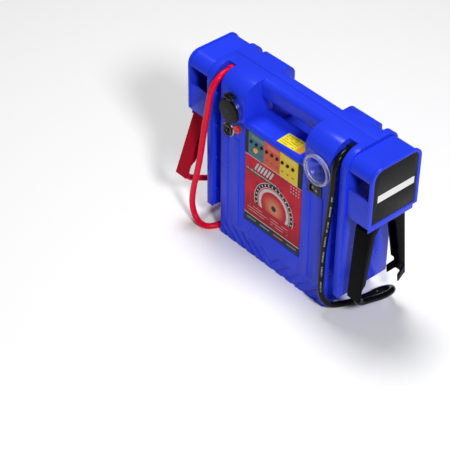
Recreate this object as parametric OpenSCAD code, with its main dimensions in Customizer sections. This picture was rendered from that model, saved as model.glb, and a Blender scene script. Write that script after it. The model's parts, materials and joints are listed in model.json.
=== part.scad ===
// Jump starter pack: a moulded two-shell case round a sealed battery, with a carry handle, a face
// panel of indicators, a lamp, a covered 12 V socket, and at each end a holster for a clamp lead.
// Millimetres. X runs to the right, Y to the back and Z up, from under the middle of the case.

/* [Case] */
// Width of the case between its two cable channels
case_w = 255; // [245:1:270]
// Depth of the case
case_d = 108; // [104:1:116]
// Height of the case
case_h = 324; // [320:1:335]
// Thickness of every moulded wall
wall = 3; // [2.6:0.1:3.4]
// Distance from the middle of the case back to the seam of the shells
seam_back = 7; // [3:0.5:10]
// Width and depth of the groove along the seam
seam_groove = 0.8; // [0.4:0.1:1.2]
// Radius of the long edge between the front and the top
front_arch_r = 32; // [28:1:34]
// Radius of the long edge between the back and the top
rear_arch_r = 18; // [14:1:22]
// Radius of the upright corners of the case
corner_r = 4; // [2:0.5:6]

/* [Carry handle] */
// Width of the hand opening
grip_w = 139; // [130:1:142]
// Distance of the shelf under the handle below the top of the case
shelf_down = 63; // [60:1:66]
// Depth of the level part of the shelf
shelf_d = 54; // [46:1:58]
// Radius of the lip between the front and the shelf
lip_r = 7; // [5:0.5:8]
// Height that the shelf falls behind its level part
shelf_fall = 26; // [20:1:30]
// Distance that this fall takes
shelf_fall_run = 12; // [8:1:16]
// Height that the rest of the floor falls towards the back
floor_fall = 10; // [6:1:14]
// Distance of the handle bar behind the front of the case
bar_setback = 36; // [32:1:38]
// Depth of the handle bar
bar_d = 52; // [46:1:54]
// Height of the handle bar
bar_h = 34; // [30:1:38]
// Radius of the bar's lower edges
bar_r = 9; // [6:0.5:11]
// Width of the sticker on the shelf
sticker_w = 50; // [40:1:52]
// Depth of the sticker
sticker_d = 28.5; // [20:0.5:29]
// Thickness of the sticker
sticker_t = 0.4; // [0.2:0.1:0.5]
// Distance of the sticker's middle right of the middle of the shelf
sticker_right = 25; // [10:1:30]

/* [Cable channels and wings] */
// Width of the channel between the case and each wing
channel_w = 18.5; // [17:0.5:22]
// Depth of the front channels
channel_front_d = 35; // [32:1:38]
// Depth of the rear channels
channel_rear_d = 20; // [14:1:24]
// Thickness of the wings
wing_t = 13; // [12:0.5:15]
// Height of the wings' lower edge
wing_z = 42; // [36:1:50]
// Radius of the retaining nubs in the channels
nub_r = 3; // [2.5:0.1:3.5]
// Height of the lowest nub
nub_first_z = 78; // [70:1:85]
// Distance from one nub to the next
nub_pitch = 65; // [60:1:66]
// Number of nubs in each front channel
nub_count = 4; // [2:1:4]

/* [Holsters] */
// Length of each holster, out from the wing
holster_l = 50; // [48:1:54]
// Distance of the holsters' lower edge below the top of the case
holster_down = 113; // [108:1:119]
// Step down from the top of the case to the holster's roof
holster_step = 5; // [3:0.5:8]
// Step back from the case's front to the holster's front
holster_front_step = 3.5; // [2:0.5:5]
// Step in from the case's back to the holster's back
holster_rear_step = 1.5; // [1:0.5:3]
// Radius of the holster's front top edge
holster_front_r = 22; // [18:1:24]
// Radius of the holster's rear top edge
holster_rear_r = 17; // [14:1:20]
// Height of the lip under each window
lip_h = 52; // [46:1:54]
// Height of each window
window_h = 34; // [28:1:34]
// Thickness of the end plates
plate_t = 4; // [3:0.5:5]
// Distance that an end plate stands proud of its holster
plate_proud = 1.5; // [1:0.25:2]
// Height of the band below each end plate
band_h = 10; // [6:1:12]
// Distance from an end plate's edge to its badge
badge_inset = 5; // [4:0.5:7]
// Length of the plus and minus marks
mark_l = 78; // [60:1:80]
// Width of the strokes of the marks
mark_t = 13; // [10:0.5:15]
// Distance of the middle of the marks below the top of the case
mark_down = 61; // [56:1:66]

/* [Face panel] */
// Width of the face label
label_w = 131; // [120:1:132]
// Distance of the label below the shelf
label_down = 11; // [9:0.5:14]
// Height of the label
label_h = 182; // [174:1:184]
// Thickness of the label
label_t = 0.6; // [0.4:0.1:0.8]
// Margin of the recess round the label
label_margin = 2; // [1:0.5:3]
// Depth of the recess that holds the label
label_recess = 1; // [0.8:0.1:1.2]
// Number of indicator windows
led_count = 9; // [6:1:9]
// Distance from one indicator window to the next
led_pitch = 12.1; // [10:0.1:12.5]
// Radius of an indicator window
led_r = 3; // [2:0.1:3.5]
// Distance of the row of indicators below the label's top
led_down = 18; // [14:1:22]
// Radius of the test button
test_r = 4.5; // [3.5:0.1:5]
// Distance of the test button left of the middle
test_left = 40.6; // [36:0.2:44]
// Distance of the test button below the indicators
test_down = 11.5; // [10:0.5:13]
// Travel of the test button
test_travel = 0.8; // [0.5:0.1:1]
// Distance of the panel's grooves and strips right of the middle
panel_mid = -2.3; // [-3:0.1:3]
// Number of slanted grooves on each side of the foot of the panel
slant_count = 6; // [4:1:6]
// Distance from one slanted groove to the next
slant_pitch = 23; // [21:0.5:24]
// Distance of the first slanted grooves' outer corners from the middle
slant_first = 25.3; // [23:0.1:28]
// Level width of the slanted grooves
slant_w = 8.3; // [6:0.1:10]
// Depth of the slanted grooves
groove_depth = 1.5; // [1:0.1:1.6]
// Width of the raised upright strips
strip_w = 12; // [10:0.5:13]
// Height of the strips over the panel
strip_h = 1; // [0.6:0.1:1.4]
// Height of the strips' lower ends
strip_z = 40; // [38:1:46]
// Distances of their upper ends below the top of the case, left and right
strip_down = [106.5, 109.5];
// Distances of the strips' centre lines from the middle
strip_x = [83.4, 110.3];

/* [Socket, jack and breaker] */
// Distance of the 12 V socket left of the middle
socket_left = 98; // [97:0.5:99]
// Distance of the socket below the top of the case
socket_down = 54; // [53:0.5:55]
// Radius of the socket's bore
socket_bore_r = 10.6; // [10.4:0.05:10.8]
// Depth of the socket's bore
socket_depth = 40; // [36:1:42]
// Wall of the socket's barrel
socket_wall = 1.4; // [1:0.1:2]
// Radius of the socket's flange
flange_r = 19; // [17:0.5:20]
// Thickness of the flange
flange_t = 5; // [4:0.5:6]
// Radius of the rubber cap
cap_r = 22; // [20:0.5:22.5]
// Thickness of the cap
cap_t = 4; // [3:0.5:4.5]
// Height from the socket up to the cap's hinge
cap_hinge_up = 26.5; // [26.5:0.5:28]
// Radius of the hinge knuckles
knuckle_r = 4; // [3.5:0.1:4]
// Radius of the hinge pin
cap_pin_r = 1.5; // [1.2:0.1:1.8]
// Distance of the charging jack left of the middle
jack_left = 102; // [101:0.5:104]
// Distance of the charging jack below the top of the case
jack_down = 94; // [93:0.5:95]
// Radius of the jack's metal ring
jack_ring_r = 13; // [12:0.5:13.5]
// Radius of the jack's bore
jack_bore_r = 2.75; // [2.5:0.05:3]
// Depth of the jack's bore
jack_depth = 9; // [8:0.5:10]
// Distance of the breaker button left of the middle
breaker_left = 80; // [79.5:0.5:81]
// Distance of the breaker button below the top of the case
breaker_down = 81.5; // [81:0.5:82]
// Radius of the breaker button
breaker_r = 7.2; // [6.5:0.1:7.5]
// Travel of the breaker button
breaker_travel = 2; // [1.5:0.1:2.5]

/* [Lamp and switch] */
// Distance of the lamp right of the middle
lamp_right = 98.8; // [98:0.2:99]
// Distance of the lamp below the top of the case
lamp_down = 59.5; // [59:0.5:61]
// Radius of the lamp's clear rim
lamp_r = 27; // [25:0.5:27.5]
// Distance that the rim stands out of the panel
lamp_proud = 6; // [4:0.5:8]
// Width of the clear rim
lamp_rim = 5; // [4:0.5:6]
// Depth of the reflector
reflector_d = 20; // [16:1:24]
// Distance of the switch right of the middle
switch_right = 95.5; // [94:0.5:97]
// Distance of the switch below the top of the case
switch_down = 99; // [98.5:0.5:100]
// Width of the switch frame
switch_w = 29; // [26:1:30]
// Height of the switch frame
switch_h = 19; // [17:0.5:19.5]
// Angle between the two positions of the rocker
rocker_throw = 16; // [10:1:18]

/* [Battery] */
// Length of the battery
battery_l = 181; // [176:1:184]
// Depth of the battery
battery_d = 77; // [74:1:78]
// Height of the battery
battery_h = 167; // [160:1:170]
// Distance of a terminal's middle from the end of the battery
terminal_inset = 22; // [16:1:30]
// Height of a terminal's block
terminal_h = 8; // [6:0.5:10]
// Height of the post on it
post_h = 4; // [3:0.5:6]
// Width of the hold-down strap
strap_w = 24; // [18:1:30]
// Thickness of the hold-down strap
strap_t = 2; // [1.5:0.1:2.5]

/* [Clamps] */
// Width of a clamp
clamp_w = 26; // [24:0.5:27]
// Thickness of the clamp's coated sheet
sheet_t = 2.4; // [2:0.1:2.8]
// Length of a clamp's handles, down from the pivot
handle_l = 162; // [155:1:172]
// Length of the narrow stretch at the end of a handle
narrow_l = 32; // [28:1:40]
// Length of a clamp's jaws, up from the pivot
jaw_l = 62; // [58:1:66]
// Half the width of the clamp at the ends of its handles
tip_out = 53.4; // [50:0.2:56]
// Half the width of the clamp at the shoulders of its handles
shoulder_out = 41.4; // [38:0.2:43]
// Gap between the jaws, over the parking tab
jaw_gap = 8; // [6:0.5:10]
// Radius of the pivot pin
pivot_r = 3; // [2.5:0.1:3.4]
// Radius of the ears round the pivot
ear_r = 9; // [8:0.5:10]
// Radius of the spring's wire
wire_r = 1; // [0.8:0.1:1.2]
// Number of turns of the spring
spring_turns = 5; // [3:1:6]
// Distance of a clamp's middle inside the end of the holster
clamp_inset = 19; // [18.5:0.5:20]

/* [Cables] */
// Diameter of the clamp cables
cable_d = 10.5; // [9:0.1:10.5]
// Distance of the glands that the cables leave by below the top of the case
gland_down = 12; // [12:0.5:14]
// Distance that a gland stands out of its wall
gland_proud = 8; // [5:0.5:8]
// Wall of the glands
gland_wall = 2.2; // [1.5:0.1:2.4]

/* [Fits and fasteners] */
// Gap round a part that only seats in a recess
seat_gap = 0.2; // [0.1:0.05:0.3]
// Gap round a part that slides or swings past another
move_gap = 0.4; // [0.3:0.05:0.5]
// Radial gap of a pin in its bore
pin_gap = 0.06; // [0.03:0.01:0.1]
// Radius of the screws' shanks
screw_r = 2; // [1.5:0.1:2.2]
// Radius of the screws' heads
screw_head_r = 3.8; // [3.4:0.1:4]

/* [Hidden] */
$fn = 48;
eps = 0.01;

// ---- Places that follow from the driving dimensions ----
half_w = case_w / 2;
shelf_z = case_h - shelf_down;
holster_z = case_h - holster_down;
mark_z = case_h - mark_down;
label_top = shelf_z - label_down;
label_z = label_top - label_h;
led_z = label_top - led_down;
test_z = led_z - test_down;
socket_z = case_h - socket_down;
jack_z = case_h - jack_down;
breaker_z = case_h - breaker_down;
lamp_z = case_h - lamp_down;
switch_z = case_h - switch_down;
gland_z = case_h - gland_down;
front_y = -case_d / 2;
rear_y = case_d / 2;
seam_y = seam_back;
wing_in = half_w + channel_w;
wing_out = wing_in + wing_t;
end_x = wing_out + holster_l;
plate_x = end_x - plate_t;
channel_back = front_y + channel_front_d;
channel_rear = rear_y - channel_rear_d;
bar_front = front_y + bar_setback;
bar_rear = bar_front + bar_d;
bar_z = case_h - bar_h;
bar_top_r = 12;
shelf_back = front_y + shelf_d;
drop_z = shelf_z - shelf_fall;
holster_front = front_y + holster_front_step;
holster_rear = rear_y - holster_rear_step;
holster_top = case_h - holster_step;
lip_z = holster_z + lip_h;
plate_z = holster_z + 2;
channel_x = half_w + channel_w / 2;
recess_y = front_y + label_recess;
label_y = recess_y - label_t;
socket_x = -socket_left;
jack_x = -jack_left;
breaker_x = -breaker_left;
test_x = -test_left;
barrel_r = socket_bore_r + socket_wall;
flange_y = front_y - flange_t;
cap_y = flange_y - seat_gap * 2;
cap_hinge_y = cap_y - cap_t / 2;
cap_hinge_z = socket_z + cap_hinge_up;
rocker_y = front_y - 0.5;
battery_z = wall;
battery_top = battery_z + battery_h;
terminal_x = battery_l / 2 - terminal_inset;
terminal_y = -battery_d / 2 + 18;
boss_r = 5;
boss_x = half_w - wall - boss_r + 1.5;
boss_places = [[boss_x, 16], [boss_x, case_h - 212], [boss_x, case_h - 126],
  [boss_x - 17, case_h - 20]];
screw_sink = 22;
slant_top = 32.5;
holster_screw_z = [holster_z + 18, holster_top - 30];
holster_screw_y = [-28, 36];
clamp_x = end_x - clamp_inset;
// Tilt, distance behind the middle and height of each clamp's pivot
red_tilt = -16.2;
red_pivot = [-clamp_x, 10, case_h - 85];
black_tilt = 1.5;
black_pivot = [clamp_x, -4, case_h - 101];

// Points of the red cable, from its gland, down the front, round on the floor and up the handle
red_route = [[-137, -27, 312], [-137, -38, 311.5], [-137, -49, 307], [-138, -57, 298],
  [-140, -61.5, 286], [-143, -63, 270], [-147, -63.5, 246], [-151, -64.5, 220], [-155, -66, 190],
  [-159, -67.5, 158], [-163, -69, 130], [-168, -70, 104], [-174, -71, 76], [-178, -71, 52],
  [-178.5, -71, 38], [-176, -71, 25], [-169, -71.5, 14], [-160, -71.5, 8], [-150, -69, 5.5],
  [-141.5, -63, 5.5], [-136.5, -53.5, 5.5], [-135, -42, 5.5], [-135, -20, 5.5], [-135, 5, 5.5],
  [-135.5, 26, 5.5], [-139, 39, 6], [-147, 49, 8.5], [-158, 54, 13], [-169, 52, 19],
  [-179, 44, 27], [-186, 32, 35], [-189, 15, 44.5], [-190, -8, 54.5], [-190, -33, 66],
  [-190, -50, 75.2], [-190, -62.7, 82.1], [-190, -68, 86.1], [-190, -72, 91.4],
  [-190, -74.2, 97.6], [-190, -74.7, 104.2], [-190, -73.2, 110.7], [-190, -66.5, 127.9],
  [-190, -50.6, 167], [-190, -34.7, 206.2]];
// Points of the black cable, from its gland, down beside the channel and back under the wing
black_route = [[137, -27, 312], [137.5, -38, 311.5], [138.5, -49, 307], [139, -56.5, 298],
  [139.5, -60, 286], [139.5, -60.7, 270], [138.9, -61.1, 246], [137, -61.9, 212],
  [134.2, -63, 178], [132.2, -64.3, 150], [131, -65.4, 120], [130.8, -66, 88],
  [131, -66.3, 62], [131.5, -65.8, 46], [132.7, -63, 32], [134.7, -57.2, 20.2],
  [137.5, -48.6, 11.4], [141, -38.4, 6.6], [145.6, -27.6, 5.5], [150.4, -16.8, 5.5],
  [154.3, -5, 5.5], [157.2, 9, 5.5],
  [159.5, 24, 5.5], [161.9, 35, 7.5], [168.4, 43, 12], [177.3, 46, 18.4], [186.2, 43, 24.9],
  [192.7, 35, 29.4], [195.1, 24, 31.3], [194.8, 10, 33], [193, -3, 35.2], [191.2, -15, 37.4],
  [190.2, -26.6, 39.9], [190, -31.9, 41.8], [190, -36.6, 44.8], [190, -40.5, 49],
  [190, -43.3, 53.9], [190, -44.9, 59.3], [190, -45.1, 64.9], [190, -44.3, 79],
  [190, -43.1, 93.9], [190, -39.9, 136], [190, -36.6, 178.1]];
// Points of the leads inside the case, from a battery terminal to a gland
lead_low = battery_top + terminal_h + post_h;
function lead_z(share) = lead_low + (gland_z - lead_low) * share;
inner_route = [[terminal_x, terminal_y, lead_low], [terminal_x, terminal_y, lead_z(0.085)],
  [terminal_x + 4.5, -17, lead_z(0.17)], [86, -5, lead_z(0.246)], [103, 9, lead_z(0.37)],
  [118, 14, lead_z(0.57)], [channel_x - 8, 12, lead_z(0.815)], [channel_x - 2, 4, lead_z(0.946)],
  [channel_x, -5, lead_z(0.992)], [channel_x, channel_back + wall + 1, gland_z]];

// ---- Shapes that repeat ----

// Draws an outline of Y and Z as a solid between two distances along X
module along_x(x0, x1) {
  translate([x0, 0, 0]) rotate([90, 0, 90]) linear_extrude(x1 - x0) children();
}

// Cylinder along Y from y0 back to y1
module along_y(x, z, r, y0, y1) {
  translate([x, y0, z]) rotate([-90, 0, 0]) cylinder(r = r, h = y1 - y0);
}

// Ring of outline points [distance out, y] turned round an axis along Y
module turned_y(x, z, outline) {
  translate([x, 0, z]) rotate([-90, 0, 0]) rotate_extrude() polygon(outline);
}

// Box given by its low and high corners
module block(low, high) {
  translate(low) cube(high - low);
}

// Rectangle with its own radius at each corner, in the order low-left, low-right, top-right, top-left
module round4(a0, a1, b0, b1, ra, rb, rc, rd) {
  polygon([[a0 + ra, b0], [a1 - rb, b0], [a1, b0 + rb], [a1, b1 - rc], [a1 - rc, b1],
    [a0 + rd, b1], [a0, b1 - rd], [a0, b0 + ra]]);
  corners = [[a0 + ra, b0 + ra, ra], [a1 - rb, b0 + rb, rb], [a1 - rc, b1 - rc, rc],
    [a0 + rd, b1 - rd, rd]];
  for (c = corners) if (c[2] > 0) translate([c[0], c[1]]) circle(r = c[2]);
}

// Side outline of the case, drawn in by an inset
module case_outline(inset, bottom) {
  round4(front_y + inset, rear_y - inset, bottom + inset, case_h - inset,
    0, 0, rear_arch_r - inset, front_arch_r - inset);
}

// Side outline of a holster, drawn in by an inset
module holster_outline(inset, bottom) {
  round4(holster_front + inset, holster_rear - inset, bottom, holster_top - inset,
    0, 0, holster_rear_r - inset, holster_front_r - inset);
}

// Section of the handle bar, drawn in by an inset
module bar_outline(inset) {
  round4(bar_front + inset, bar_rear - inset, bar_z + inset, case_h - inset,
    bar_r - inset, bar_r - inset, rear_arch_r - inset, bar_top_r - inset);
}

// Space over the shelf, with its round lip, and over the sloping floor behind it, lowered and
// brought forward by a skin
module grip_outline(skin) {
  polygon([[front_y - 1, shelf_z - skin], [shelf_back - skin, shelf_z - skin],
    [shelf_back + shelf_fall_run - skin, drop_z - skin],
    [rear_y + 1, drop_z - floor_fall - skin], [rear_y + 1, case_h + 1],
    [front_y - 1, case_h + 1]]);
  difference() {
    translate([front_y - 1, shelf_z - lip_r]) square([lip_r + 1, lip_r + 1]);
    translate([front_y + lip_r, shelf_z - lip_r]) circle(r = lip_r - skin);
  }
}

// Tube of a round section swept along points, with its ends square to the first and last stretch
function unit(v) = v / norm(v);
function tangent(p, i) = let (n = len(p) - 1)
  i == 0 ? unit(p[1] - p[0]) :
  i == n ? unit(p[n] - p[n - 1]) :
  unit(unit(p[i] - p[i - 1]) + unit(p[i + 1] - p[i]));
function square_to(v, t) = unit(v - (v * t) * t);
module swept(points, r, sides, start) {
  last = len(points) - 1;
  tangents = [for (i = [0:last]) tangent(points, i)];
  normals = [for (i = 0, n = square_to(start, tangents[0]); i <= last;
    i = i + 1, n = i <= last ? square_to(n, tangents[i]) : n) n];
  rings = [for (i = [0:last], k = [0:sides - 1])
    points[i] + r * (cos(360 * k / sides) * normals[i]
      + sin(360 * k / sides) * cross(tangents[i], normals[i]))];
  walls = [for (i = [0:last - 1], k = [0:sides - 1], half = [0, 1])
    let (a = i * sides + k, b = i * sides + (k + 1) % sides)
    half == 0 ? [a, a + sides, b] : [b, a + sides, b + sides]];
  first_cap = [for (k = [1:sides - 2]) [0, k, k + 1]];
  last_cap = [for (k = [1:sides - 2]) [last * sides, last * sides + k + 1, last * sides + k]];
  polyhedron(rings, concat(walls, first_cap, last_cap));
}

// ---- Case ----

// Everything inside the outer faces of the case, webs and wings
module case_body() {
  difference() {
    intersection() {
      along_x(-half_w, half_w) case_outline(0, 0);
      linear_extrude(case_h + 1) round4(-half_w, half_w, front_y, rear_y,
        corner_r, corner_r, corner_r, corner_r);
    }
    difference() {
      along_x(-grip_w / 2, grip_w / 2) grip_outline(0);
      along_x(-grip_w, grip_w) bar_outline(0);
    }
  }
  for (side = [0, 1]) mirror([side, 0, 0]) {
    along_x(half_w - corner_r - 1, wing_in + eps)
      polygon([[channel_back, wing_z], [channel_rear, wing_z], [channel_rear, case_h],
        [channel_back, case_h]]);
    along_x(wing_in, wing_out) case_outline(0, wing_z);
  }
}

// Hollow inside the case, the webs and the wings
module case_hollow() {
  skirt = grip_w / 2 + wall;
  difference() {
    along_x(-half_w + wall, half_w - wall) case_outline(wall, 0);
    along_x(-skirt, skirt) grip_outline(wall);
  }
  along_x(-skirt - eps, skirt + eps) bar_outline(wall);
  for (side = [0, 1]) mirror([side, 0, 0]) {
    along_x(half_w - wall - eps, wing_in + wall) polygon([[channel_back + wall, wing_z + wall],
      [channel_rear - wall, wing_z + wall], [channel_rear - wall, case_h - wall],
      [channel_back + wall, case_h - wall]]);
    along_x(wing_in + wall, wing_out - wall) case_outline(wall, wing_z);
  }
}

module case_shell() {
  difference() {
    case_body();
    case_hollow();
  }
}

// Bosses for the case screws, between two distances along Y, kept inside the outer faces
module bosses(y0, y1) {
  intersection() {
    case_body();
    for (side = [-1, 1], b = boss_places) along_y(side * b[0], b[1], boss_r, y0, y1);
  }
}

// Battery cradle: two ribs that stop the battery from sliding
module cradle_ribs(y0, y1) {
  for (side = [-1, 1]) block([side * (battery_l / 2 + 10) - 1.5, y0, wall - eps],
    [side * (battery_l / 2 + 10) + 1.5, y1, wall + 30]);
}

// Shallow groove all round the seam of a shell, on the side of the seam given
module seam_relief(y0, y1) {
  difference() {
    block([-wing_out - 1, y0, wing_z - 1], [wing_out + 1, y1, case_h + 1]);
    block([-wing_out + seam_groove, y0 - 1, wing_z - 2],
      [wing_out - seam_groove, y1 + 1, case_h - seam_groove]);
  }
}

// Slanted grooves at the foot of the front panel, falling to the middle from either side
module slanted_grooves() {
  foot = slant_top + 1;
  for (side = [-1, 1]) intersection() {
    translate([panel_mid, front_y + groove_depth, 0]) rotate([90, 0, 0])
      linear_extrude(groove_depth + 1) for (i = [0:slant_count - 1]) {
        x = side * (slant_first + slant_pitch * i);
        polygon([[x, slant_top], [x - side * foot, -1],
          [x - side * (foot + slant_w), -1], [x - side * slant_w, slant_top]]);
      }
    block([side < 0 ? -half_w - 1 : panel_mid, front_y - 2, -2],
      [side < 0 ? panel_mid : half_w + 1, front_y + 2, slant_top + 1]);
  }
}

// Raised upright strips on the front panel
module strips() {
  for (side = [0, 1], x = strip_x) {
    middle = panel_mid + (side == 0 ? -x : x);
    block([middle - strip_w / 2, front_y - strip_h, strip_z],
      [middle + strip_w / 2, front_y + 1, case_h - strip_down[side]]);
  }
}

module front_shell() color("royalblue") {
  difference() {
    union() {
      intersection() {
        case_shell();
        block([-wing_out - 1, front_y - 1, -1], [wing_out + 1, seam_y, case_h + 1]);
      }
      bosses(front_y + 1, seam_y);
      cradle_ribs(front_y + wall - eps, seam_y);
      strips();
      for (side = [-1, 1], i = [0:nub_count - 1])
        translate([side * wing_in, front_y + 9, nub_first_z + nub_pitch * i])
          sphere(r = nub_r);
    }
    for (side = [-1, 1], b = boss_places)
      along_y(side * b[0], b[1], screw_r - 0.4, seam_y - 24, seam_y + 1);
    seam_relief(seam_y - seam_groove, seam_y + 1);
    // label recess, with the holes for the indicators and the test button
    block([-label_w / 2 - label_margin, front_y - 1, label_z - label_margin],
      [label_w / 2 + label_margin, recess_y, label_top + label_margin]);
    for (i = [0:led_count - 1]) along_y(led_x(i), led_z, led_r + seat_gap, front_y - 1, front_y + 9);
    along_y(test_x, test_z, test_r + seat_gap, front_y - 1, front_y + 9);
    slanted_grooves();
    // fittings
    along_y(socket_x, socket_z, barrel_r + seat_gap, front_y - 1, front_y + 12);
    along_y(jack_x, jack_z, jack_ring_r - 3 + seat_gap, front_y - 1, front_y + 12);
    along_y(breaker_x, breaker_z, breaker_r - 3 + seat_gap, front_y - 1, front_y + 12);
    along_y(lamp_right, lamp_z, lamp_r - lamp_rim + seat_gap, front_y - 1, front_y + 12);
    block([switch_right - switch_w / 2 + 2, front_y - 1, switch_z - switch_h / 2 + 2],
      [switch_right + switch_w / 2 - 2, front_y + 9, switch_z + switch_h / 2 - 2]);
    block([socket_x - 8, front_y - 1, cap_hinge_z - 2.5],
      [socket_x + 8, front_y + 1.5, cap_hinge_z + 2.5]);
    for (side = [-1, 1]) along_y(side * channel_x, gland_z, gland_r() + seat_gap,
      channel_back - 1, channel_back + wall + 1);
    for (side = [-1, 1], z = holster_screw_z)
      translate([side * (wing_out - 5), holster_screw_y[0], z]) rotate([0, side * 90, 0])
        cylinder(r = screw_r - 0.4, h = 9);
  }
}

module rear_shell() color("royalblue") {
  difference() {
    union() {
      intersection() {
        case_shell();
        block([-wing_out - 1, seam_y, -1], [wing_out + 1, rear_y + 1, case_h + 1]);
      }
      bosses(seam_y, rear_y - 1);
      cradle_ribs(seam_y, rear_y - wall + eps);
    }
    for (side = [-1, 1], b = boss_places) {
      along_y(side * b[0], b[1], screw_r + seat_gap, seam_y - 1, rear_y);
      along_y(side * b[0], b[1], screw_head_r + seat_gap, rear_y - screw_sink, rear_y + 1);
    }
    for (side = [-1, 1], z = holster_screw_z)
      translate([side * (wing_out - 5), holster_screw_y[1], z]) rotate([0, side * 90, 0])
        cylinder(r = screw_r - 0.4, h = 9);
  }
}

// ---- Holsters ----

// Puts a clamp, drawn round its own pivot, in its place
module at_clamp(pivot, tilt) {
  translate(pivot) rotate([tilt, 0, 0]) children();
}

// One holster, drawn at the right-hand end; its parking tab goes between its own clamp's jaws
module holster(pivot, tilt) {
  tab_t = jaw_gap - 2 * move_gap;
  difference() {
    union() {
      along_x(wing_out, plate_x + eps) holster_outline(0, holster_z);
      along_x(plate_x, end_x) round4(holster_front - plate_proud, holster_rear + plate_proud,
        plate_z, holster_top + plate_proud, 0, 0, holster_rear_r, holster_front_r);
    }
    along_x(wing_out + wall, plate_x) holster_outline(wall, holster_z - 1);
    block([wing_out + wall, holster_front - 5, lip_z],
      [plate_x, holster_rear + 5, lip_z + window_h]);
    for (y = [[holster_front - 5, holster_front + wall], [holster_rear - wall, holster_rear + 5]])
      block([wing_out - 1, y[0], lip_z], [wing_out + wall + eps, y[1], lip_z + window_h]);
    along_x(end_x - 1, end_x + 1) badge_outline(0);
    for (z = holster_screw_z, y = holster_screw_y)
      translate([wing_out - 1, y, z]) rotate([0, 90, 0])
        cylinder(r = screw_r + seat_gap, h = wall + 2);
  }
  block([plate_x - 1, holster_front + wall, holster_z - band_h],
    [plate_x + eps, holster_rear - wall, plate_z + 4]);
  intersection() {
    along_x(wing_out + wall / 2, plate_x + wall / 2) holster_outline(wall / 2, holster_z);
    at_clamp([clamp_x, pivot[1], pivot[2]], tilt)
      block([-holster_l, -tab_t / 2, jaw_l - 16], [holster_l, tab_t / 2, 3 * jaw_l]);
  }
}

// Outline of the badge on an end plate, drawn in by a gap
module badge_outline(gap) {
  inset = badge_inset + gap;
  round4(holster_front + inset, holster_rear - inset, plate_z + inset, holster_top - inset + 2,
    0, 0, holster_rear_r - badge_inset, holster_front_r - badge_inset);
}

module left_holster() color("royalblue") mirror([1, 0, 0]) holster(red_pivot, red_tilt);
module right_holster() color("royalblue") holster(black_pivot, black_tilt);

// Strokes of the plus and minus marks, as an outline of Y and Z
module mark_stroke(upright) {
  l = upright ? mark_t : mark_l;
  h = upright ? mark_l * 0.8 : mark_t;
  translate([-l / 2 + mark_y(), mark_z - h / 2]) square([l, h]);
}
function mark_y() = (holster_front + holster_rear) / 2 + 2;

module badge(plus) {
  difference() {
    along_x(end_x - 1, end_x - 0.2) badge_outline(seat_gap);
    along_x(end_x - 0.6, end_x + 1) mark_stroke(false);
    if (plus) along_x(end_x - 0.6, end_x + 1) mark_stroke(true);
  }
}

module left_badge() color("dimgray") mirror([1, 0, 0]) badge(true);
module right_badge() color("dimgray") badge(false);

module plus_mark() color("white") mirror([1, 0, 0]) along_x(end_x - 0.6, end_x - 0.1) {
  mark_stroke(false);
  mark_stroke(true);
}
module minus_mark() color("white") along_x(end_x - 0.6, end_x - 0.1) mark_stroke(false);

// ---- Face panel ----
function led_x(i) = (i - (led_count - 1) / 2) * led_pitch - 3.5;
led_y = front_y - 0.8;
board_y = front_y + 9;

module face_label() color("crimson") difference() {
  block([-label_w / 2, label_y, label_z], [label_w / 2, recess_y, label_top]);
  for (i = [0:led_count - 1]) along_y(led_x(i), led_z, led_r + seat_gap, front_y - 1, front_y + 3);
  along_y(test_x, test_z, test_r + seat_gap, front_y - 1, front_y + 3);
}

module shelf_sticker() color("gold")
  translate([sticker_right, front_y + lip_r + sticker_d / 2, shelf_z]) rotate([0, 0, 4])
    translate([-sticker_w / 2, -sticker_d / 2, 0]) cube([sticker_w, sticker_d, sticker_t]);

module indicator_windows() color("black") for (i = [0:led_count - 1]) {
  along_y(led_x(i), led_z, led_r, led_y, board_y);
}

// Circuit board behind the panel, on two posts, with the switch under the test button
board_t = 1.6;
board_x = [min(led_x(0), test_x) - 10.1, led_x(led_count - 1) + 13.1];
post_x = [board_x[0] + 4, board_x[1] - 4];
module indicator_board() color("darkgreen") {
  post_z = led_z - 5;
  difference() {
    block([board_x[0], board_y, led_z - 24], [board_x[1], board_y + board_t, led_z + 14]);
    for (x = post_x) along_y(x, post_z, 1.2, board_y - 1, board_y + 3);
  }
  for (x = post_x) difference() {
    along_y(x, post_z, 3, front_y + wall, board_y);
    along_y(x, post_z, 1.2, front_y + wall - 1, board_y + 1);
  }
  block([test_x - 3, board_y - 3, test_z - 3], [test_x + 3, board_y + eps, test_z + 3]);
  for (i = [3, 4, 6]) block([led_x(i), board_y + board_t - eps, led_z - 18],
    [led_x(i) + 9, board_y + 5, led_z - 6]);
}

module test_button() color("orange") {
  switch_y = board_y - 3 - test_travel - 0.1;
  along_y(test_x, test_z, test_r, front_y - 1.8, front_y + wall + 1);
  along_y(test_x, test_z, test_r + 1.5, front_y + wall + 0.1, front_y + wall + 1);
  along_y(test_x, test_z, 2, front_y + wall + 1 - eps, switch_y);
}

// ---- 12 V socket with its hinged cap ----
module socket_barrel() color("silver") turned_y(socket_x, socket_z, [
  [socket_bore_r, flange_y], [flange_r - 1.5, flange_y], [flange_r, flange_y + 1.5],
  [flange_r, front_y], [barrel_r, front_y], [barrel_r, flange_y + socket_depth + 3],
  [4, flange_y + socket_depth + 3], [4, flange_y + socket_depth],
  [socket_bore_r, flange_y + socket_depth]]);

module socket_nut() color("dimgray") turned_y(socket_x, socket_z, [
  [barrel_r, front_y + wall], [barrel_r + 4, front_y + wall],
  [barrel_r + 4, front_y + wall + 6], [barrel_r, front_y + wall + 6]]);

module socket_contact() color("goldenrod") {
  contact_y = flange_y + socket_depth;
  along_y(socket_x, socket_z, 4 - seat_gap, contact_y, contact_y + 8);
  along_y(socket_x, socket_z, 7, contact_y + 3, contact_y + 5);
}

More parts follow.
